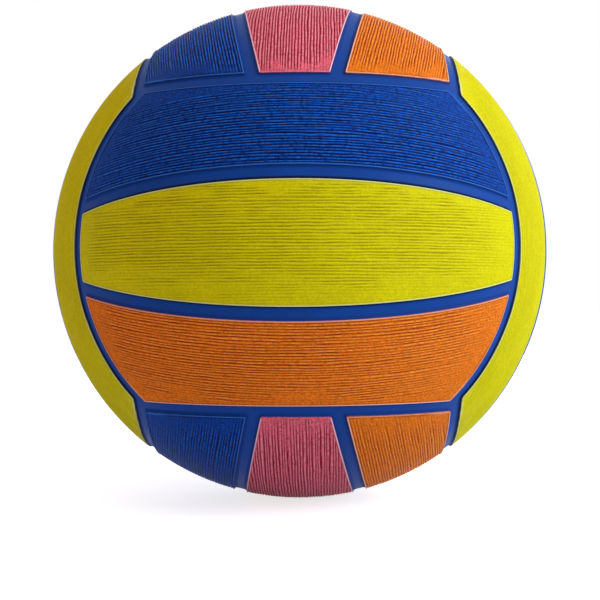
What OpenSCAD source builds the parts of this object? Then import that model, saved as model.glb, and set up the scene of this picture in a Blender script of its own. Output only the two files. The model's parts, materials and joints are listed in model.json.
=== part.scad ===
// Moulded rubber ball of eighteen raised panels in six faces of three strips.
// The centre of the ball is the origin. +Z is up, the front face looks along -Y, the valve is on +Y.

/* [Ball] */
// Diameter over the panels
ball_d = 190; // [150:1:230]

/* [Panels] */
// Height of the panels above the floor of the channels
panel_rise = 0.9; // [0.5:0.05:2]
// Width of the channels between the panels
channel_w = 4.8; // [3:0.1:9]
// Angle at the centre from a face's middle to its long edge, in degrees
face_edge_angle = 35.9; // [35.3:0.1:37.5]
// Angle at the centre from a face's middle to the edge of its middle strip, in degrees
strip_edge_angle = 14; // [10:0.5:20]

/* [Layers] */
// Thickness of the blue rubber layer under the panels
base_t = 0.8; // [0.4:0.1:2]
// Thickness of the nylon thread layer
winding_t = 0.5; // [0.2:0.1:1.5]
// Thickness of the bladder
bladder_t = 0.7; // [0.4:0.1:1.5]
// Thickness of the bond between two layers
bond_t = 0.05; // [0.02:0.01:0.1]

/* [Valve] */
// Diameter of the housing
boss_d = 13; // [12:0.5:18]
// Length of the housing, from its mouth to its inner end
boss_len = 24; // [18:0.5:40]
// Depth of the housing's mouth below the panel
mouth_depth = 0.3; // [0:0.1:0.6]
// Diameter of the flange that holds the housing to the bladder
flange_d = 28; // [20:0.5:40]
// Thickness of the flange
flange_t = 1.2; // [0.6:0.1:2.5]
// Diameter of the strengthening patch
patch_d = 38; // [30:0.5:60]
// Thickness of the strengthening patch
patch_t = 0.6; // [0.3:0.1:1.5]

/* [Valve plug] */
// Diameter of the stem
stem_d = 6.8; // [5:0.1:8]
// Length of the stem below the head
stem_len = 20; // [12:0.5:22]
// Diameter of the head
head_d = 9.2; // [8.5:0.1:10.5]
// Thickness of the head
head_t = 1.5; // [0.8:0.1:3]
// Clearance between the plug and the housing
plug_fit = 0.05; // [0.02:0.01:0.1]
// Diameter of the passage for the inflating needle
needle_d = 2.2; // [1.6:0.1:2.6]
// Diameter of the funnel at the mouth of the passage
funnel_d = 4.2; // [3:0.1:6]
// Depth of the funnel
funnel_h = 1.2; // [0.5:0.1:2.5]

/* [Hidden] */
$fn = 96;
BLUE = "#1d4598";
YELLOW = "#d8d010";
ORANGE = "#e5741f";
PINK = "#d8607a";

// Radius of each layer, from the outside in
ball_r = ball_d / 2;
base_r = ball_r - panel_rise;
winding_r = base_r - base_t - bond_t;
bladder_r = winding_r - winding_t - bond_t;
patch_r = bladder_r - bladder_t - bond_t;
flange_r = patch_r - patch_t - bond_t;

// Seam planes of a face, measured from the centre of the ball at the surface of the panels
face_edge = ball_r * sin(face_edge_angle);
// The channel between two faces lies aslant to those planes, half of it on each side
half_channel = channel_w / 2 * cos(face_edge_angle);
panel_end = face_edge + half_channel;
panel_edge = face_edge - half_channel;
// The sides of the channel between two strips lie this far above and below the seam
strip_rise = channel_w / 2 / cos(strip_edge_angle);
// Past every surface of the ball
reach = ball_r + 10;

// Heights of the valve's levels above the centre of the ball
boss_top = ball_r - mouth_depth;
boss_foot = boss_top - boss_len;
head_seat = boss_top - head_t;
stem_foot = head_seat - stem_len;
bond_hole_d = boss_d + 2 * bond_t;

// Each face: name, turn from the front face, then name and colour of its upper, middle and lower strip
FACES = [
    ["front", [0, 0, 0], [["upper", BLUE], ["middle", YELLOW], ["lower", ORANGE]]],
    ["rear", [0, 0, 180], [["upper", BLUE], ["middle", YELLOW], ["lower", ORANGE]]],
    ["top", [-90, 0, 90], [["left", BLUE], ["middle", PINK], ["right", ORANGE]]],
    ["bottom", [90, 0, -90], [["left", BLUE], ["middle", PINK], ["right", ORANGE]]],
    ["right", [90, -90, 0], [["front", YELLOW], ["middle", BLUE], ["rear", YELLOW]]],
    ["left", [90, -90, 180], [["rear", YELLOW], ["middle", BLUE], ["front", YELLOW]]]
];

// Layer of the ball between two radii
module layer(outer_r, inner_r) {
    difference() {
        sphere(r = outer_r);
        sphere(r = inner_r);
    }
}

// Turns what stands on +Z to the side of the valve, +Y
module on_valve_axis() {
    rotate([-90, 0, 0]) children();
}

// Round hole through the ball's wall on the valve's axis
module valve_hole(d) {
    on_valve_axis() cylinder(d = d, h = reach);
}

// Layer with the hole that the valve housing is bonded into
module holed_layer(outer_r, inner_r) {
    difference() {
        layer(outer_r, inner_r);
        valve_hole(bond_hole_d);
    }
}

// Outline of a strip of the front face, seen along the strip: forwards is +X, up is +Y
function middle_outline() = [
    [panel_end, panel_end * tan(strip_edge_angle) - strip_rise],
    [panel_end, strip_rise - panel_end * tan(strip_edge_angle)],
    [reach, strip_rise - reach * tan(strip_edge_angle)],
    [reach, reach * tan(strip_edge_angle) - strip_rise]
];
function outer_outline() = [
    [panel_end, panel_end * tan(strip_edge_angle) + strip_rise],
    [panel_end, panel_edge],
    [reach, panel_edge],
    [reach, reach * tan(strip_edge_angle) + strip_rise]
];

// One panel of the front face: 0 is the upper strip, 1 the middle and 2 the lower
module strip_panel(strip) {
    outline = strip == 1 ? middle_outline() : outer_outline();
    intersection() {
        layer(ball_r, base_r + bond_t);
        mirror([0, 0, strip == 2 ? 1 : 0])
            rotate([90, 0, -90])
            linear_extrude(height = 2 * reach, center = true)
            polygon(outline);
    }
}

// One panel in its place on the ball; the valve comes through the rear middle one
module panel(face, strip) {
    color(FACES[face][2][strip][1])
        if (FACES[face][0] == "rear" && strip == 1)
            difference() {
                rotate(FACES[face][1]) strip_panel(strip);
                valve_hole(bond_hole_d);
            }
        else
            rotate(FACES[face][1]) strip_panel(strip);
}

module cover_base() {
    color(BLUE) holed_layer(base_r, base_r - base_t);
}

module thread_winding() {
    color("gainsboro") holed_layer(winding_r, winding_r - winding_t);
}

module bladder() {
    color("dimgray") holed_layer(bladder_r, bladder_r - bladder_t);
}

// Disc bonded to the inside of the bladder around the valve
module valve_patch() {
    color("gray")
        intersection() {
            holed_layer(patch_r, patch_r - patch_t);
            valve_hole(patch_d);
        }
}

// Tube with a flange bonded under the patch, open at both ends
module valve_boss() {
    color(BLUE)
        difference() {
            union() {
                on_valve_axis() translate([0, 0, boss_foot]) cylinder(d = boss_d, h = boss_len);
                intersection() {
                    layer(flange_r, flange_r - flange_t);
                    valve_hole(flange_d);
                }
            }
            on_valve_axis() {
                translate([0, 0, head_seat]) cylinder(d = head_d + 2 * plug_fit, h = reach);
                cylinder(d = stem_d + 2 * plug_fit, h = reach);
            }
        }
}

// Plain push-in plug with a seated head and a through passage
module valve_plug() {
    color("black")
        on_valve_axis()
        difference() {
            union() {
                translate([0, 0, stem_foot]) cylinder(d = stem_d, h = stem_len + head_t / 2);
                translate([0, 0, head_seat]) cylinder(d = head_d, h = head_t);
            }
            cylinder(d = needle_d, h = reach);
            translate([0, 0, boss_top - funnel_h])
                cylinder(d1 = needle_d, d2 = funnel_d, h = funnel_h);
        }
}

for (face = [0 : len(FACES) - 1], strip = [0 : 2])
    let (name = str(FACES[face][0], "_", FACES[face][2][strip][0]))
        panel(face, strip);
cover_base();
thread_winding();
bladder();
valve_patch();
valve_boss();
valve_plug();
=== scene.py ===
import json
from math import acos, asin, atan, cos, pi, radians, sin

import bpy
import numpy as np
from mathutils import Euler, Matrix, Vector


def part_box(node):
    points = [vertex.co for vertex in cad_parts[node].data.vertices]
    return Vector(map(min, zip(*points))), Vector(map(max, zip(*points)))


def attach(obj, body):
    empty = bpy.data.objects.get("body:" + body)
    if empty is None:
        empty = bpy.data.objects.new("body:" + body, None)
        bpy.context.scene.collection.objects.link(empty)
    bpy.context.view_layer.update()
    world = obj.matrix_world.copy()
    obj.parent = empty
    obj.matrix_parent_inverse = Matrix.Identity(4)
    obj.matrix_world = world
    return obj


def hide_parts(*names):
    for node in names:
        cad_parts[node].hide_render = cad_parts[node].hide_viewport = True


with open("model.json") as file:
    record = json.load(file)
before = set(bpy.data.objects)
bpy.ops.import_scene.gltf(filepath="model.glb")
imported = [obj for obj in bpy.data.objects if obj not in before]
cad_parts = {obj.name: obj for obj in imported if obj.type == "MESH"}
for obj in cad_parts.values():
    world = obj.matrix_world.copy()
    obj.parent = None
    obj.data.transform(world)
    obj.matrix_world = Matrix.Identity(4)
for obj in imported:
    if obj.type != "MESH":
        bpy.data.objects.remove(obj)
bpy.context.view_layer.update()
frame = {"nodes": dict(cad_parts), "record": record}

MM = 0.001


# Sizes of the ball, from the frame where it gives them and otherwise as in the part's source

mounts = {mount["name"]: mount for mount in frame["record"]["mounts"]}
BALL_R = -mounts["cradle"]["pos_m"][2]
BASE_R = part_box("cover_base")[1].z
PANEL_RISE = BALL_R - BASE_R
# The planes that end the strips and that bound the outer strips of a face, and their angles at the centre
PANEL_END = -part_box("front_middle")[1].y
PANEL_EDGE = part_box("front_upper")[1].z
END_ANGLE = asin(PANEL_END / BALL_R)
EDGE_ANGLE = asin(PANEL_EDGE / BALL_R)
FACE_ANGLE = asin((PANEL_END + PANEL_EDGE) / 2 / BALL_R)
CHANNEL_W = (PANEL_END - PANEL_EDGE) / cos(FACE_ANGLE)
# The plane through the ball's centre in which the seam beside a middle strip lies
SEAM_ANGLE = asin(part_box("front_middle")[1].z / BALL_R) + asin(CHANNEL_W / 2 / BALL_R)
BASE_T = 0.8 * MM
BOND_T = 0.05 * MM
# Base, winding, bladder and valve patch, with the bonds between them
WALL_T = 2.8 * MM

# The valve, on the ball's +Y side
VALVE_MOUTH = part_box("valve_boss")[1].y
BOSS_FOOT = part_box("valve_boss")[0].y
BOSS_R = 6.5 * MM
FLANGE_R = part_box("valve_boss")[1].x
FLANGE_T = 1.2 * MM
HEAD_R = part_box("valve_plug")[1].x
HEAD_T = 1.5 * MM
HEAD_FLOOR = VALVE_MOUTH - HEAD_T
STEM_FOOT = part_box("valve_plug")[0].y
STEM_R = 3.4 * MM
PLUG_FIT = 0.05 * MM
NEEDLE_R = mounts["needle"]["dims"]["r_mm"] * MM
FUNNEL_R = 2.1 * MM
FUNNEL_H = 1.2 * MM
# Rounding of the housing's and the plug's edges, and the fine ring pressed into the housing's mouth
HOUSING_SOFT = 0.25 * MM
PLUG_SOFT = 0.3 * MM
MOUTH_RING_R = 5.5 * MM
MOUTH_RING_W = 0.22 * MM
# Turn at which the rounded rim of the funnel runs into its cone, in degrees
FUNNEL_TURN = 150


# Fineness of the meshes

ROWS_PER_RIB = 6
COLUMNS = 160
BACK_COLUMNS, BACK_ROWS = 40, 24
COVER_SEGMENTS, COVER_RINGS = 256, 128
VALVE_SEGMENTS = 128
PLUG_SEGMENTS = 96
ARC_STEPS = 5
FLANGE_STEPS = 4
# Points closer than this are one point
MERGE_GAP = 0.005 * MM
# Edges flatter than this are shaded smooth
COVER_SMOOTH = radians(40)
TURNED_SMOOTH = radians(35)


# Ribs that are moulded on the panels

RIB_PITCH = 1.04 * MM
RIB_DEPTH = 0.45 * MM
# Unevenness is laid on in layers, each with its amount, its width in ribs and its length
# The ribs waver from their course, in shares of the pitch
RIB_WAVER = ((0.24, 1.4, 28 * MM), (0.12, 1.2, 5 * MM))
# Their strength differs from face to face and varies along each rib, in shares of the depth
RIB_STRENGTH = {"front": 0.80, "rear": 0.80, "top": 1.0, "bottom": 0.75, "right": 0.75, "left": 0.75}
RIB_FADING = ((0.18, 1.0, 20 * MM), (0.12, 6.0, 30 * MM), (0.40, 1.0, 3.5 * MM))
# They are worn down over these lengths in mm at a panel's near and far edge and its first and last end,
# by face, and on the front and rear faces by strip
WORN_MARGINS = {
    "top": (0, 0, 9, 9),
    "bottom": (0, 0, 14, 14),
    "right": (0, 0, 12, 12),
    "left": (0, 0, 12, 12),
    "upper": (0, 9, 12, 15),
    "middle": (12, 5, 12, 38),
    "lower": (0, 8, 12, 28),
}
# The worn margins have ragged limits, and this share of the ribs is left in them
WORN_SHARE = 0.12
WORN_RAGGED = ((5 * MM, 2.5, 9 * MM), (2 * MM, 1.0, 3 * MM))
# Plain ring around the valve, and the length over which the ribs start beyond it
PLAIN_RING = 1 * MM
PLAIN_FADE = 3 * MM


# Edges of the panels

# An edge rises from the channel as a hollow foot, let into the base, and ends in a rounded lip
FOOT_W = 1.60 * MM
FOOT_SINK = 0.03 * MM
LIP_R = 0.38 * MM
CORNER_R = 0.45 * MM
# The ribbed field lies a little below the lip, behind a shallow hollow, and has full ribs from RIBS_FULL on
FIELD_DROP = 0.12 * MM
FIELD_EDGE = 0.85 * MM
HOLLOW_DEPTH = 0.15 * MM
RIBS_FULL = 3 * LIP_R
# Distances in from the edge of the rows of points that shape it, from the outer end of the foot on,
# and of the only such row of a back
EDGE_ROWS = np.array([
    -1.60, -1.10, -0.70, -0.40, -0.20, -0.08, 0.0, 0.06, 0.14, 0.25, 0.38, 0.58, 0.78, 1.02]) * MM
PLAIN_EDGE = np.array([0.0])
# Distances in from the edge over which a zone of colour starts and ends: the lip's painted highlight, the
# blue skirt, the painted shade beside the foot and the painted shade in the hollow
LIP_BAND = np.array([0.02, 0.10, 0.32, 0.58]) * MM
SKIRT_BAND = np.array([-5.0, -4.0, -0.05, 0.06]) * MM
SHADE_BAND = np.array([-0.90, -0.25, 0.0, 0.12]) * MM
HOLLOW_BAND = np.array([0.36, 0.56, 0.76, 1.00]) * MM
# The shade reaches this much further out on an edge that faces up
SHADE_SPREAD = np.array([-0.45, -0.45, 0.0, 0.0]) * MM
# Strength of those zones by colour: the lip's painted highlight on edges that face up and at the ends of a
# panel, the painted shade on edges that face down or sideways and on those that face up, and the painted
# shade in the hollow
EDGE_LOOK = {
    "blue_rubber": {"lip_up": 1.0, "lip_end": 1.0, "shade_down": 0.6, "shade_up": 0.45, "hollow": 0.9},
    "yellow_rubber": {"lip_up": 0.9, "lip_end": 1.0, "shade_down": 1.0, "shade_up": 1.0, "hollow": 0.3},
    "orange_rubber": {"lip_up": 0.5, "lip_end": 0.6, "shade_down": 0.75, "shade_up": 0.3, "hollow": 0.5},
    "pink_rubber": {"lip_up": 0.3, "lip_end": 0.25, "shade_down": 0.6, "shade_up": 0.15, "hollow": 0.15},
}


# Faces of the ball

# Each face: directions out of the ball, along its strips and across them, then its strips in that order
FACES = {
    "front": ((0, -1, 0), (1, 0, 0), (0, 0, 1), ("upper", "middle", "lower")),
    "rear": ((0, 1, 0), (-1, 0, 0), (0, 0, 1), ("upper", "middle", "lower")),
    "top": ((0, 0, 1), (0, 1, 0), (-1, 0, 0), ("left", "middle", "right")),
    "bottom": ((0, 0, -1), (0, -1, 0), (-1, 0, 0), ("left", "middle", "right")),
    "right": ((1, 0, 0), (0, 0, 1), (0, -1, 0), ("front", "middle", "rear")),
    "left": ((-1, 0, 0), (0, 0, 1), (0, 1, 0), ("rear", "middle", "front")),
}
VALVE_PANEL = "rear_middle"
slot_of = {part["node"]: part["material_slot"] for part in frame["record"]["subparts"]}


# Helpers

def deselect_all():
    bpy.ops.object.select_all(action="DESELECT")


def make_active(piece):
    """Selects one piece and nothing else."""
    deselect_all()
    piece.select_set(True)
    bpy.context.view_layer.objects.active = piece


def new_piece(name):
    """Names the primitive that was just added."""
    piece = bpy.context.object
    piece.name = name
    piece.data.name = name
    return piece


def points_of(piece):
    """The piece's points, one to a row."""
    points = np.empty(len(piece.data.vertices) * 3)
    piece.data.vertices.foreach_get("co", points)
    return points.reshape(-1, 3)


def move_points(piece, points):
    piece.data.vertices.foreach_set("co", points.ravel())
    piece.data.update()


def store(piece, name, values):
    """Keeps one number for each point of the piece, for its material to read."""
    attribute = piece.data.attributes.new(name, "FLOAT", "POINT")
    attribute.data.foreach_set("value", values.astype(np.float32))


def apply_modifier(piece, kind, **settings):
    make_active(piece)
    modifier = piece.modifiers.new(kind.title(), kind)
    for setting, value in settings.items():
        setattr(modifier, setting, value)
    bpy.ops.object.modifier_apply(modifier=modifier.name)


def hand_over(piece, node, body, material):
    """Puts the finished piece in the place of its CAD node."""
    piece.data.materials.clear()
    piece.data.materials.append(material)
    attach(piece, body)
    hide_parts(node)


# Materials

# Sizes of the patterns in the rubber: the grain and the pores are finer on a real ball,
# and are drawn as coarse as they need to show
MOTTLE_SIZE = 22 * MM
CRUMBLE_SIZE = 1.5 * MM
GRAIN_SIZE = 0.8 * MM
FLOW_SIZE = 14 * MM
PORE_SIZE = 0.5 * MM
# Spacing of the nylon thread, and the turns of its three crossing layers
THREAD_PITCH = 0.6 * MM
THREAD_TURNS = ([0, 0, 0], [0, radians(60), 0], [radians(60), 0, radians(40)])
# Radians that a Wave texture of scale 1 turns through in a metre
WAVE_TURN = 20
# Most values of a Noise texture lie between these
NOISE_SPAN = {"From Min": 0.3, "From Max": 0.7}
# Crumbling rubber varies the shares of the valleys' painted shade and the ridges' painted highlight between
# these multiples
VALLEY_SPAN = (0.5, 1.5)
RIDGE_SPAN = (-0.2, 2.2)
RUBBER_IOR = 1.52
# Inputs and output of a Mix node that mixes colours
MIX_A, MIX_B, MIX_RESULT = 6, 7, 2
CHANNEL_BLUE = "#0e459f"
BUTYL_BLACK = "#2a2a2c"
PLUG_BLACK = "#1b1b1d"
THREAD_PALE = "#e2ddd0"
THREAD_DARK = "#8f887a"


def linear(hex_colour):
    """A linear colour from an sRGB hex value."""
    shares = [int(hex_colour[i:i + 2], 16) / 255 for i in (1, 3, 5)]
    return [s / 12.92 if s <= 0.04045 else ((s + 0.055) / 1.055) ** 2.4 for s in shares] + [1.0]


def connect(tree, node, inputs):
    """Sets each input of a node to a value, or links it to (node, output)."""
    for socket, value in inputs.items():
        if isinstance(value, tuple):
            tree.links.new(value[0].outputs[value[1]], node.inputs[socket])
        else:
            node.inputs[socket].default_value = value


def add(tree, kind, inputs=None, **settings):
    """Adds a node with its settings and its inputs."""
    node = tree.nodes.new(kind)
    for setting, value in settings.items():
        setattr(node, setting, value)
    connect(tree, node, inputs or {})
    return node


def empty_tree(owner):
    """The node tree of a new material or world, with nothing in it."""
    owner.use_nodes = True
    owner.node_tree.nodes.clear()
    return owner.node_tree


def new_material(name):
    """A material with its tree, its surface shader and its coordinates."""
    material = bpy.data.materials.new(name)
    tree = empty_tree(material)
    shader = add(tree, "ShaderNodeBsdfPrincipled")
    add(tree, "ShaderNodeOutputMaterial", {"Surface": (shader, "BSDF")})
    place = add(tree, "ShaderNodeTexCoord")
    return material, tree, shader, place


def per_metre(size):
    """The noise scale that gives spots of this size."""
    return 1 / size


def panel_rubber(name, body, valley_shade, valley_share, ridge_highlight, ridge_share, pitting, lip, shade):
    """Moulded natural rubber: matt and pitted.

    It has painted shade between the ribs, in the hollow and at the foot, painted highlights on the ridges and
    lips, and is blue at the foot.
    """
    material, tree, shader, place = new_material(name)
    mottle = add(tree, "ShaderNodeTexNoise", {
        "Vector": (place, "Object"), "Scale": per_metre(MOTTLE_SIZE), "Detail": 4.0, "Roughness": 0.6})
    grain = add(tree, "ShaderNodeTexNoise", {
        "Vector": (place, "Object"), "Scale": per_metre(GRAIN_SIZE), "Detail": 2.0, "Roughness": 0.6})
    crumble = add(tree, "ShaderNodeTexNoise", {
        "Vector": (place, "Object"), "Scale": per_metre(CRUMBLE_SIZE), "Detail": 2.0, "Roughness": 0.6})
    mottled = add(tree, "ShaderNodeMapRange", {
        **NOISE_SPAN, "Value": (mottle, "Fac"), "To Min": 0.92, "To Max": 1.06})
    pitted = add(tree, "ShaderNodeMapRange", {
        **NOISE_SPAN, "Value": (grain, "Fac"), "To Min": 1 - pitting, "To Max": 1 + pitting})
    tone = add(tree, "ShaderNodeMath", {0: (mottled, "Result"), 1: (pitted, "Result")}, operation="MULTIPLY")
    skin = add(tree, "ShaderNodeMix", {
        "Factor": 1.0, MIX_A: linear(body), MIX_B: (tone, "Value")},
        data_type="RGBA", blend_type="MULTIPLY")
    valley_shade_gain, ridge_highlight_gain = (
        add(tree, "ShaderNodeMapRange", {
            **NOISE_SPAN, "Value": (crumble, "Fac"), "To Min": least * share, "To Max": most * share})
        for (least, most), share in ((VALLEY_SPAN, valley_share), (RIDGE_SPAN, ridge_share)))
    # Zones laid over the skin: painted shade in the rib valleys and the hollow, painted highlight on the
    # ridges and lips, blue skirt, painted shade at the foot
    zones = {
        "groove": (valley_shade, (valley_shade_gain, "Result")),
        "ridge_highlight": (ridge_highlight, (ridge_highlight_gain, "Result")),
        "hollow": (valley_shade, 1.0),
        "lip": (lip, 1.0),
        "skirt": (CHANNEL_BLUE, 1.0),
        "shade": (shade, 1.0),
    }
    for zone, (zone_colour, gain) in zones.items():
        kept = add(tree, "ShaderNodeAttribute", attribute_name=zone)
        covered = add(tree, "ShaderNodeMath", {
            0: (kept, "Fac"), 1: gain}, operation="MULTIPLY", use_clamp=True)
        skin = add(tree, "ShaderNodeMix", {
            "Factor": (covered, "Value"), MIX_A: (skin, MIX_RESULT), MIX_B: linear(zone_colour)},
            data_type="RGBA")
    rough = add(tree, "ShaderNodeMapRange", {
        **NOISE_SPAN, "Value": (grain, "Fac"), "To Min": 0.52, "To Max": 0.70})
    bump = add(tree, "ShaderNodeBump", {"Strength": 0.35, "Distance": 0.06 * MM, "Height": (grain, "Fac")})
    connect(tree, shader, {
        "Base Color": (skin, MIX_RESULT), "Roughness": (rough, "Result"), "Normal": (bump, "Normal"),
        "IOR": RUBBER_IOR, "Specular IOR Level": 0.06})
    return material


def smooth_rubber(name, colour, roughness):
    """Smooth moulded rubber: satin, with faint flow marks and a fine pored skin."""
    material, tree, shader, place = new_material(name)
    flow = add(tree, "ShaderNodeTexNoise", {
        "Vector": (place, "Object"), "Scale": per_metre(FLOW_SIZE), "Detail": 5.0, "Distortion": 0.6})
    pores = add(tree, "ShaderNodeTexNoise", {
        "Vector": (place, "Object"), "Scale": per_metre(PORE_SIZE), "Detail": 2.0})
    tone = add(tree, "ShaderNodeMapRange", {
        **NOISE_SPAN, "Value": (flow, "Fac"), "To Min": 0.92, "To Max": 1.08})
    skin = add(tree, "ShaderNodeMix", {
        "Factor": 1.0, MIX_A: linear(colour), MIX_B: (tone, "Result")},
        data_type="RGBA", blend_type="MULTIPLY")
    rough = add(tree, "ShaderNodeMapRange", {
        **NOISE_SPAN, "Value": (flow, "Fac"), "To Min": roughness - 0.06, "To Max": roughness + 0.06})
    bump = add(tree, "ShaderNodeBump", {"Strength": 0.2, "Distance": 0.03 * MM, "Height": (pores, "Fac")})
    connect(tree, shader, {
        "Base Color": (skin, MIX_RESULT), "Roughness": (rough, "Result"), "Normal": (bump, "Normal"),
        "IOR": RUBBER_IOR, "Specular IOR Level": 0.08})
    return material


def wound_nylon(name):
    """Nylon thread wound on the bladder: pale, with crossing bands of thread and a faint sheen."""
    material, tree, shader, place = new_material(name)
    bands = []
    for turn in THREAD_TURNS:
        turned = add(tree, "ShaderNodeMapping", {"Vector": (place, "Object"), "Rotation": turn})
        bands.append(add(tree, "ShaderNodeTexWave", {
            "Vector": (turned, "Vector"), "Scale": 2 * pi / (WAVE_TURN * THREAD_PITCH), "Distortion": 1.5,
            "Detail": 1.0}, wave_type="BANDS", bands_direction="Z"))
    crossed = add(tree, "ShaderNodeMath", {0: (bands[0], "Fac"), 1: (bands[1], "Fac")}, operation="MAXIMUM")
    wound = add(tree, "ShaderNodeMath", {0: (crossed, "Value"), 1: (bands[2], "Fac")}, operation="MAXIMUM")
    colour = add(tree, "ShaderNodeMix", {
        "Factor": (wound, "Value"), MIX_A: linear(THREAD_DARK), MIX_B: linear(THREAD_PALE)}, data_type="RGBA")
    bump = add(tree, "ShaderNodeBump", {"Strength": 0.6, "Distance": 0.2 * MM, "Height": (wound, "Value")})
    connect(tree, shader, {
        "Base Color": (colour, MIX_RESULT), "Normal": (bump, "Normal"),
        "Roughness": 0.55, "Sheen Weight": 0.2})
    return material


# The lip colours are painted highlights, and the shade colours are painted shade at the foot
panel_finish = {
    "blue_rubber": panel_rubber(
        "blue_moulded_rubber", body="#033e9b", valley_shade="#000c50", valley_share=1.7,
        ridge_highlight="#2068d2", ridge_share=1.0, pitting=0.80, lip="#3474d4", shade="#0a2a6a"),
    "yellow_rubber": panel_rubber(
        "yellow_moulded_rubber", body="#d9d505", valley_shade="#948800", valley_share=0.65,
        ridge_highlight="#e4e022", ridge_share=0.5, pitting=0.12, lip="#e0f2a8", shade="#0a1533"),
    "orange_rubber": panel_rubber(
        "orange_moulded_rubber", body="#e87a1a", valley_shade="#9c2600", valley_share=0.95,
        ridge_highlight="#fca646", ridge_share=0.7, pitting=0.34, lip="#fbd2be", shade="#2c1a3c"),
    "pink_rubber": panel_rubber(
        "pink_moulded_rubber", body="#e46880", valley_shade="#980020", valley_share=1.8,
        ridge_highlight="#fc9cb2", ridge_share=0.9, pitting=0.45, lip="#f6d6ec", shade="#241a50"),
}
channel_rubber = smooth_rubber("blue_channel_rubber", CHANNEL_BLUE, roughness=0.5)
valve_rubber = smooth_rubber("blue_valve_rubber", CHANNEL_BLUE, roughness=0.42)
plug_rubber = smooth_rubber("black_butyl_plug", PLUG_BLACK, roughness=0.38)
bladder_rubber = smooth_rubber("black_butyl_rubber", BUTYL_BLACK, roughness=0.5)
nylon_thread = wound_nylon("wound_nylon_thread")


# Panels, made from grids whose points are laid on the ball one by one, because the ribs curve with it

def strip_planes(middle, grow):
    """The planes of a strip's two long edges, as out, across and offset, with the strip beyond each.

    The strip is widened by grow on both sides.
    """
    half = CHANNEL_W / 2 - grow
    seam_out, seam_across = sin(SEAM_ANGLE), cos(SEAM_ANGLE)
    if middle:
        return (seam_out, seam_across, half), (seam_out, -seam_across, half)
    return (-seam_out, seam_across, half), (0.0, -1.0, -PANEL_EDGE - grow * cos(EDGE_ANGLE))


def on_strip(middle, u, v, grow):
    """Points of the ball on a strip, as along, out and across.

    They lie at u from -1 to 1 along the strip and at v from 0 to 1 across it.
    """
    near, far = strip_planes(middle, grow)
    out, across, offset = ((1 - v) * n - v * f for n, f in zip(near, far))
    length = np.hypot(out, across)
    out, across, offset = out / length, across / length, offset / length
    radius = np.sqrt(BALL_R ** 2 - offset ** 2)
    side = np.where(across > 0, 1.0, -1.0)
    lead_out, lead_across = side * across, -side * out
    end_plane = PANEL_END - grow * cos(END_ANGLE)
    end = np.arccos((end_plane - offset * out) / (radius * lead_out))
    return np.stack([radius * np.sin(u * end),
                     offset * out + radius * np.cos(u * end) * lead_out,
                     offset * across + radius * np.cos(u * end) * lead_across], axis=-1)


def spaced(index, count, length, edge_rows):
    """Distance of a row from the sheet's first edge: crowded at both panel edges and even between them."""
    crowded = edge_rows - edge_rows[0]
    steps = len(crowded) - 1
    even = crowded[-1] + (index - steps) / (count - 2 * steps) * (length - 2 * crowded[-1])
    first = crowded[np.minimum(index, steps)]
    last = length - crowded[np.minimum(count - index, steps)]
    return np.where(index < steps, first, np.where(count - index < steps, last, even))


def strip_sheet(name, middle, columns, rows, edge_rows):
    """A grid for a strip, out to its first edge row, with the place of each of its points on the ball."""
    grow = -edge_rows[0]
    deselect_all()
    bpy.ops.mesh.primitive_grid_add(x_subdivisions=columns, y_subdivisions=rows, size=2)
    sheet = new_piece(name)
    flat = points_of(sheet)
    column = np.rint((flat[:, 0] + 1) / 2 * columns).astype(int)
    row = np.rint((flat[:, 1] + 1) / 2 * rows).astype(int)
    half_row = on_strip(middle, np.array([0.0, 1.0]), np.array([0.5, 0.5]), grow)
    length = 2 * BALL_R * acos(np.dot(*half_row) / BALL_R ** 2)
    u = spaced(column, columns, length, edge_rows) / length * 2 - 1
    first = on_strip(middle, u, np.zeros_like(u), grow)
    last = on_strip(middle, u, np.ones_like(u), grow)
    width = np.linalg.norm(last - first, axis=1)
    v = spaced(row, rows, width, edge_rows) / width
    return sheet, on_strip(middle, u, v, grow)


def edge_distance(middle, place):
    """Distances over the ball from each point to the panel's edge, its near and far side and its ends.

    The edge is round at the panel's corners.
    """
    _, out, across = place.T
    near, far = strip_planes(middle, 0)
    to_near = near[0] * out + near[1] * across - near[2]
    if middle:
        to_far = far[0] * out + far[1] * across - far[2]
    else:
        to_far = BALL_R * (EDGE_ANGLE - np.arcsin(across / BALL_R))
    to_side = np.minimum(to_near, to_far)
    to_end = BALL_R * (np.arcsin(np.minimum(out / BALL_R, 1)) - END_ANGLE)
    corner = CORNER_R - np.hypot(np.maximum(CORNER_R - to_side, 0), np.maximum(CORNER_R - to_end, 0))
    inner = (to_side > CORNER_R) & (to_end > CORNER_R)
    return np.where(inner, np.minimum(to_side, to_end), corner), to_near, to_far, to_end


def smooth_step(low, high, x):
    """0 below low, 1 above high and a soft slope between them."""
    t = np.clip((x - low) / (high - low), 0, 1)
    return t * t * (3 - 2 * t)


def streaks(rng, across, along):
    """Smooth random values from -1 to 1, one cell to a unit each way."""
    across, along = across - across.min(), along - along.min()
    lattice = rng.uniform(-1, 1, (int(across.max()) + 2, int(along.max()) + 2))
    i, j = across.astype(int), along.astype(int)
    s, t = smooth_step(0, 1, across - i), smooth_step(0, 1, along - j)
    low = lattice[i, j] * (1 - t) + lattice[i, j + 1] * t
    high = lattice[i + 1, j] * (1 - t) + lattice[i + 1, j + 1] * t
    return low * (1 - s) + high * s


def uneven(rng, rib, along, layers):
    """Layers of streaks on top of each other."""
    return sum(amount * streaks(rng, rib / ribs, along / length) for amount, ribs, length in layers)


def rib_number(middle, place):
    """Ribs counted across the strip.

    They run with the middle of a middle strip, and with the inner edge of an outer one.
    """
    _, out, across = place.T
    turn = 0 if middle else SEAM_ANGLE
    return BALL_R * np.arcsin((across * cos(turn) - out * sin(turn)) / BALL_R) / RIB_PITCH


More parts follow.
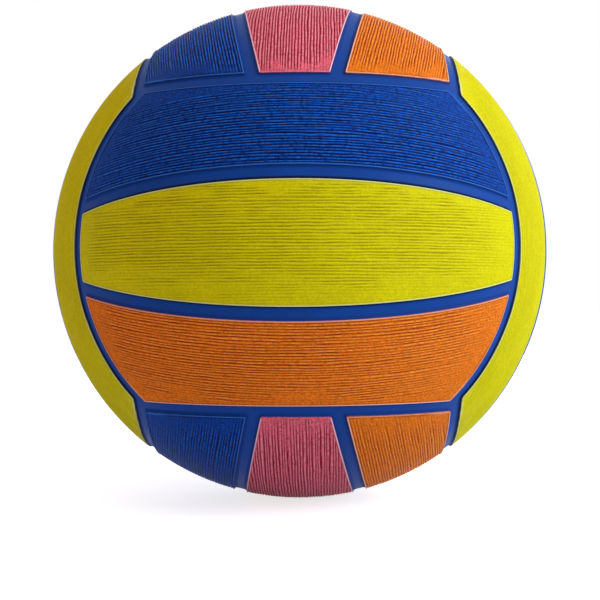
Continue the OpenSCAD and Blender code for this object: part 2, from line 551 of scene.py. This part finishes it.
def rib_shares(rng, rib, along, full):
    """Shares of groove, for the ribs' depth and painted valley shade, and of painted ridge highlight at each
    point: combed ribs of uneven spacing and strength.
    """
    wave = np.cos(2 * pi * (rib + uneven(rng, rib, along, RIB_WAVER)))
    strength = np.clip(full + uneven(rng, rib, along, RIB_FADING), 0, 1)
    return strength * (0.5 + 0.5 * wave) ** 2, strength * (0.5 - 0.5 * wave) ** 2


def rib_fade(rng, margins, rib, along, edge, to_near, to_far, to_end):
    """Share of their strength that the ribs keep near the lip and in a panel's worn margins."""
    to_first = np.where(along < 0, to_end, np.inf)
    to_last = np.where(along < 0, np.inf, to_end)
    fade = smooth_step(LIP_R, RIBS_FULL, edge)
    for distance, margin in zip((to_near, to_far, to_first, to_last), margins):
        ragged = distance + uneven(rng, rib, along, WORN_RAGGED)
        if margin:
            fade *= WORN_SHARE + (1 - WORN_SHARE) * smooth_step(0, margin * MM, ragged)
    return fade


def band(edge, limits):
    """1 between the inner two of four distances from the edge, 0 outside the outer two."""
    return smooth_step(limits[0], limits[1], edge) * (1 - smooth_step(limits[2], limits[3], edge))


def edge_height(edge):
    """Height of a panel above the base by the distance in from its edge: foot, rounded lip, field."""
    lip_foot = PANEL_RISE - LIP_R
    inward = np.clip(1 + edge / FOOT_W, 0, 1)
    foot = (lip_foot + FOOT_SINK) * (1 - np.sqrt(1 - inward ** 2)) - FOOT_SINK
    lip = lip_foot + np.sqrt(LIP_R ** 2 - (LIP_R - np.clip(edge, 0, LIP_R)) ** 2)
    field = lip - FIELD_DROP * smooth_step(LIP_R, FIELD_EDGE, edge) - HOLLOW_DEPTH * band(edge, HOLLOW_BAND)
    return np.where(edge < 0, foot, field)


def in_face(place, height, face, side):
    """Carries points from a strip's own directions to the ball's, at a height above the base."""
    out, along, across = (np.array(direction, float) for direction in FACES[face][:3])
    unit = place / BALL_R
    turned = np.outer(unit[:, 0], along) + np.outer(unit[:, 1], out) + np.outer(unit[:, 2] * side, across)
    return turned * (BASE_R + height)[:, None]


def facing_up(face, side, to_near, to_far, at_end):
    """How far the edge that is nearest to each point faces up, from 0 to 1."""
    out, across = FACES[face][0][2], FACES[face][2][2] * side
    side_up = np.where(to_near < to_far, -across, across)
    return np.maximum(np.where(at_end, -out, side_up), 0)


def edge_zones(face, side, look, edge, to_near, to_far, to_end):
    """Shares of the zones of colour along a panel's edge: painted highlight on the lip, painted shade in the
    hollow inside it, blue skirt and painted shade at its foot.
    """
    at_end = to_end < np.minimum(to_near, to_far)
    up = facing_up(face, side, to_near, to_far, at_end)
    shade = band(edge, SHADE_BAND[:, None] + SHADE_SPREAD[:, None] * up)
    return {
        "lip": band(edge, LIP_BAND) * (1 - (1 - look["lip_up"]) * up) * np.where(at_end, look["lip_end"], 1),
        "hollow": band(edge, HOLLOW_BAND) * look["hollow"],
        "skirt": band(edge, SKIRT_BAND),
        "shade": shade * (look["shade_down"] + (look["shade_up"] - look["shade_down"]) * up),
    }


def close_back(sheet, back):
    """Joins a panel's front and back sheets and closes the rim between them."""
    make_active(sheet)
    back.select_set(True)
    bpy.ops.object.join()
    bpy.ops.object.mode_set(mode="EDIT")
    bpy.ops.mesh.select_mode(type="EDGE")
    bpy.ops.mesh.select_all(action="DESELECT")
    bpy.ops.mesh.select_non_manifold()
    bpy.ops.mesh.bridge_edge_loops()
    bpy.ops.mesh.select_all(action="SELECT")
    bpy.ops.mesh.normals_make_consistent(inside=False)
    bpy.ops.object.mode_set(mode="OBJECT")
    bpy.ops.object.shade_smooth()


def panel(face, strip, seed, plain_r):
    """One moulded panel: ribbed on top, plain within plain_r of its middle, with a lip, a foot and a back."""
    node = f"{face}_{strip}"
    order = FACES[face][3].index(strip)
    middle = order == 1
    side = -1 if order == 2 else 1
    rng = np.random.default_rng(seed)
    section = on_strip(middle, np.zeros(2), np.array([0.0, 1.0]), FOOT_W)
    ribs = round(float(np.linalg.norm(section[1] - section[0])) / RIB_PITCH)
    rows = ribs * ROWS_PER_RIB + 2 * (len(EDGE_ROWS) - 1)
    sheet, place = strip_sheet(f"{node}_panel", middle, COLUMNS, rows, EDGE_ROWS)
    along = place[:, 0]
    edge, to_near, to_far, to_end = edge_distance(middle, place)
    rib = rib_number(middle, place)
    margins = WORN_MARGINS[face if face in WORN_MARGINS else strip]
    fade = rib_fade(rng, margins, rib, along, edge, to_near, to_far, to_end)
    if plain_r:
        fade *= smooth_step(plain_r, plain_r + PLAIN_FADE, np.hypot(along, place[:, 2]))
    groove, ridge_highlight = (share * fade for share in rib_shares(rng, rib, along, RIB_STRENGTH[face]))
    move_points(sheet, in_face(place, edge_height(edge) - RIB_DEPTH * groove, face, side))
    back, back_place = strip_sheet(f"{node}_back", middle, BACK_COLUMNS, BACK_ROWS, PLAIN_EDGE)
    back_count = len(back.data.vertices)
    move_points(back, in_face(back_place, np.full(back_count, -FOOT_SINK), face, side))
    close_back(sheet, back)
    zones = edge_zones(face, side, EDGE_LOOK[slot_of[node]], edge, to_near, to_far, to_end)
    for zone, values in {"groove": groove, "ridge_highlight": ridge_highlight, **zones}.items():
        store(sheet, zone, np.concatenate([values, np.zeros(back_count)]))
    return sheet


def valve_opening(piece):
    """Cuts the round hole for the valve housing through the panel."""
    deselect_all()
    bpy.ops.mesh.primitive_cylinder_add(
        vertices=VALVE_SEGMENTS, radius=BOSS_R + BOND_T, depth=BALL_R / 2,
        location=(0, BALL_R, 0), rotation=(pi / 2, 0, 0))
    cutter = new_piece("valve_cutter")
    apply_modifier(piece, "BOOLEAN", operation="DIFFERENCE", solver="EXACT", object=cutter)
    bpy.data.objects.remove(cutter)


all_strips = [(face, strip) for face, (_, _, _, strips) in FACES.items() for strip in strips]
for seed, (face, strip) in enumerate(all_strips, start=1):
    node = f"{face}_{strip}"
    has_valve = node == VALVE_PANEL
    piece = panel(face, strip, seed, BOSS_R + PLAIN_RING if has_valve else 0)
    if has_valve:
        valve_opening(piece)
    hand_over(piece, node, "ball", panel_finish[slot_of[node]])


# Blue layer that shows in the channels

def dome(radius, r):
    """Height above the ball's centre of a sphere about it, at a distance from the axis."""
    return (radius ** 2 - r ** 2) ** 0.5


def cover_layer():
    """A closed rubber shell with the hole for the valve housing."""
    deselect_all()
    bpy.ops.mesh.primitive_uv_sphere_add(
        segments=COVER_SEGMENTS, ring_count=COVER_RINGS, radius=BASE_R, rotation=(pi / 2, 0, 0))
    piece = new_piece("cover_layer")
    bpy.ops.object.transform_apply(location=False, rotation=True, scale=False)
    bpy.ops.object.mode_set(mode="EDIT")
    bpy.ops.mesh.select_all(action="SELECT")
    hole_plane = dome(BASE_R, BOSS_R + BOND_T)
    bpy.ops.mesh.bisect(plane_co=(0, hole_plane, 0), plane_no=(0, 1, 0), clear_outer=True)
    bpy.ops.object.mode_set(mode="OBJECT")
    apply_modifier(piece, "SOLIDIFY", thickness=BASE_T, offset=-1.0)
    bpy.ops.object.shade_smooth_by_angle(angle=COVER_SMOOTH)
    return piece


hand_over(cover_layer(), "cover_base", "ball", channel_rubber)


# Valve

def turned_piece(name, rings, segments):
    """A round piece on the valve's axis, drawn out ring by ring, each given by its radius and its height."""
    deselect_all()
    start_r, start = rings[0]
    bpy.ops.mesh.primitive_circle_add(vertices=segments, radius=start_r, location=(0, 0, start))
    piece = new_piece(name)
    bpy.ops.object.transform_apply(location=True, rotation=False, scale=False)
    bpy.ops.object.mode_set(mode="EDIT")
    bpy.ops.mesh.select_all(action="SELECT")
    for (old_r, old), (r, z) in zip(rings, rings[1:] + rings[:1]):
        bpy.ops.mesh.extrude_edges_move(TRANSFORM_OT_translate={"value": (0, 0, z - old)})
        bpy.ops.transform.resize(value=(r / old_r, r / old_r, 1), center_override=(0, 0, z))
    bpy.ops.mesh.select_all(action="SELECT")
    bpy.ops.mesh.remove_doubles(threshold=MERGE_GAP)
    bpy.ops.mesh.normals_make_consistent(inside=False)
    bpy.ops.object.mode_set(mode="OBJECT")
    piece.rotation_euler = (-pi / 2, 0, 0)
    bpy.ops.object.transform_apply(location=False, rotation=True, scale=False)
    bpy.ops.object.shade_smooth_by_angle(angle=TURNED_SMOOTH)
    return piece


def rounded(centre_r, centre, radius, start, stop):
    """Rings of a rounded edge: an arc from one angle to another about a point of the section, in degrees."""
    turns = [radians(start + (stop - start) * i / ARC_STEPS) for i in range(ARC_STEPS + 1)]
    return [(centre_r + radius * cos(turn), centre + radius * sin(turn)) for turn in turns]


def valve_housing():
    """The rubber tube with its domed flange inside the bladder and a rounded mouth with a fine ring."""
    soft = HOUSING_SOFT
    flange_outer = BASE_R - WALL_T
    flange_inner = flange_outer - FLANGE_T
    seat_r = HEAD_R + PLUG_FIT
    bore_r = STEM_R + PLUG_FIT
    reach = FLANGE_R - soft - BOSS_R
    spread = [BOSS_R + reach * i / FLANGE_STEPS for i in range(FLANGE_STEPS + 1)]
    rings = [(bore_r, BOSS_FOOT), (BOSS_R - soft, BOSS_FOOT)]
    rings += rounded(BOSS_R - soft, BOSS_FOOT + soft, soft, -90, 0)
    rings += [(r, dome(flange_inner, r)) for r in spread]
    rings += [(FLANGE_R, dome(flange_inner, FLANGE_R) + soft)]
    rings += [(FLANGE_R, dome(flange_outer, FLANGE_R) - soft)]
    rings += [(r, dome(flange_outer, r)) for r in reversed(spread)]
    rings += rounded(BOSS_R - soft, VALVE_MOUTH - soft, soft, 0, 90)
    rings += rounded(MOUTH_RING_R, VALVE_MOUTH, MOUTH_RING_W, 0, -180)
    rings += rounded(seat_r + soft / 2, VALVE_MOUTH - soft / 2, soft / 2, 90, 180)
    rings += [(seat_r, HEAD_FLOOR), (bore_r, HEAD_FLOOR)]
    return turned_piece("valve_housing", rings, VALVE_SEGMENTS)


def push_in_plug():
    """The butyl plug: a rounded head with a funnel for the needle, on a plain stem."""
    soft = PLUG_SOFT
    rings = [(NEEDLE_R, STEM_FOOT), (STEM_R - soft, STEM_FOOT)]
    rings += rounded(STEM_R - soft, STEM_FOOT + soft, soft, -90, 0)
    rings += [(STEM_R, HEAD_FLOOR), (HEAD_R, HEAD_FLOOR)]
    rings += rounded(HEAD_R - soft, VALVE_MOUTH - soft, soft, 0, 90)
    rings += rounded(FUNNEL_R + soft, VALVE_MOUTH - soft, soft, 90, FUNNEL_TURN)
    rings += [(NEEDLE_R, VALVE_MOUTH - FUNNEL_H)]
    return turned_piece("needle_plug", rings, PLUG_SEGMENTS)


hand_over(valve_housing(), "valve_boss", "ball", valve_rubber)
hand_over(push_in_plug(), "valve_plug", "plug", plug_rubber)


# Layers inside the ball keep their CAD shape

inner_layers = {"thread_winding": nylon_thread, "bladder": bladder_rubber, "valve_patch": bladder_rubber}
for node, material in inner_layers.items():
    layer = frame["nodes"][node]
    layer.data.materials.clear()
    layer.data.materials.append(material)


# Floor, light and camera

WHITE = [1, 1, 1, 1]
FLOOR_SIZE = 12
BOARD_COLOUR = "#dce7f6"
# Light that the board adds to what it reflects, so that it is seen as white
BOARD_GLOW = 0.74
# Linear colour and strength of the light from all round
AMBIENT_COLOUR = [1.0, 0.675, 0.575, 1]
AMBIENT_STRENGTH = 0.51
IMAGE_PX = 600
FOCAL_PX = 1274.5
# Height of the ball's centre above the centre of the picture
BALL_UP_PX = 47.2
CAMERA_DISTANCE = 5.264 * BALL_R
# Turns of the camera about the ball's X, Y and Z axes, in degrees
CAMERA_TURN = (2.04, 0.22, 1.21)
# Width of the camera's sensor, in the camera's own millimetres
SENSOR_W = 36.0
NEAREST_SEEN = 0.01


def seen_ray(tree):
    """1 for the rays that show the background: straight to the camera, in a reflection or through glass."""
    light_path = add(tree, "ShaderNodeLightPath")
    seen = (light_path, "Is Camera Ray")
    for ray in ("Is Glossy Ray", "Is Transmission Ray"):
        seen = (add(tree, "ShaderNodeMath", {0: seen, 1: (light_path, ray)}, operation="MAXIMUM"), "Value")
    return seen


def floor_material():
    """White matt board: seen as white, darkened only by the ball's shadow."""
    material = bpy.data.materials.new("white_board")
    tree = empty_tree(material)
    board = add(tree, "ShaderNodeBsdfDiffuse", {"Color": linear(BOARD_COLOUR)})
    glow = add(tree, "ShaderNodeEmission", {"Color": WHITE, "Strength": BOARD_GLOW})
    shown = add(tree, "ShaderNodeAddShader", {0: (glow, "Emission"), 1: (board, "BSDF")})
    mixed = add(tree, "ShaderNodeMixShader", {0: seen_ray(tree), 1: (board, "BSDF"), 2: (shown, "Shader")})
    add(tree, "ShaderNodeOutputMaterial", {"Surface": (mixed, "Shader")})
    return material


def studio_floor():
    """A board under the ball, which rests on it."""
    deselect_all()
    bpy.ops.mesh.primitive_plane_add(size=FLOOR_SIZE, location=(0, 0, -BALL_R))
    floor = new_piece("floor")
    floor.data.materials.append(floor_material())


def studio_world():
    """Even soft light from all round, seen as white."""
    world = bpy.data.worlds.new("studio")
    bpy.context.scene.world = world
    tree = empty_tree(world)
    ambient = add(tree, "ShaderNodeBackground", {"Color": AMBIENT_COLOUR, "Strength": AMBIENT_STRENGTH})
    white = add(tree, "ShaderNodeBackground", {"Color": WHITE, "Strength": 1.0})
    mixed = add(tree, "ShaderNodeMixShader", {
        0: seen_ray(tree), 1: (ambient, "Background"), 2: (white, "Background")})
    add(tree, "ShaderNodeOutputWorld", {"Surface": (mixed, "Shader")})


def soft_box(name, azimuth, elevation, distance, size, watts, colour):
    """A square soft light that faces the ball, placed by its angles from the front, in degrees."""
    deselect_all()
    a, e = radians(azimuth), radians(elevation)
    place = Vector((sin(a) * cos(e), -cos(a) * cos(e), sin(e))) * distance
    bpy.ops.object.light_add(type="AREA", location=place)
    lamp = bpy.context.object
    lamp.name = name
    lamp.rotation_euler = (-place).to_track_quat("-Z", "Y").to_euler()
    lamp.data.size = size
    lamp.data.energy = watts
    lamp.data.color = colour


def photo_camera():
    """The camera that takes the photo's view, tilted down so that the ball stands high in the picture."""
    bpy.ops.object.camera_add()
    camera = bpy.context.object
    camera.name = "photo_camera"
    turn = Euler([radians(angle) for angle in CAMERA_TURN], "XYZ").to_matrix()
    place = turn @ Vector((0, -CAMERA_DISTANCE, 0))
    downwards = Matrix.Rotation(pi / 2 - atan(BALL_UP_PX / FOCAL_PX), 3, "X")
    camera.matrix_world = Matrix.Translation(place) @ (turn @ downwards).to_4x4()
    camera.data.sensor_width = SENSOR_W
    camera.data.lens = FOCAL_PX / IMAGE_PX * SENSOR_W
    camera.data.clip_start = NEAREST_SEEN
    bpy.context.scene.camera = camera


studio_floor()
studio_world()
soft_box("key_light", azimuth=68, elevation=25, distance=1.1, size=0.8, watts=9.2, colour=(0.86, 1.0, 1.0))
soft_box("top_light", azimuth=-10, elevation=72, distance=1.1, size=0.7, watts=1.0, colour=(1.0, 0.98, 0.95))
soft_box("rear_light", azimuth=175, elevation=10, distance=1.2, size=0.8, watts=6, colour=(1.0, 1.0, 1.0))
photo_camera()
bpy.context.scene.view_settings.view_transform = "Standard"
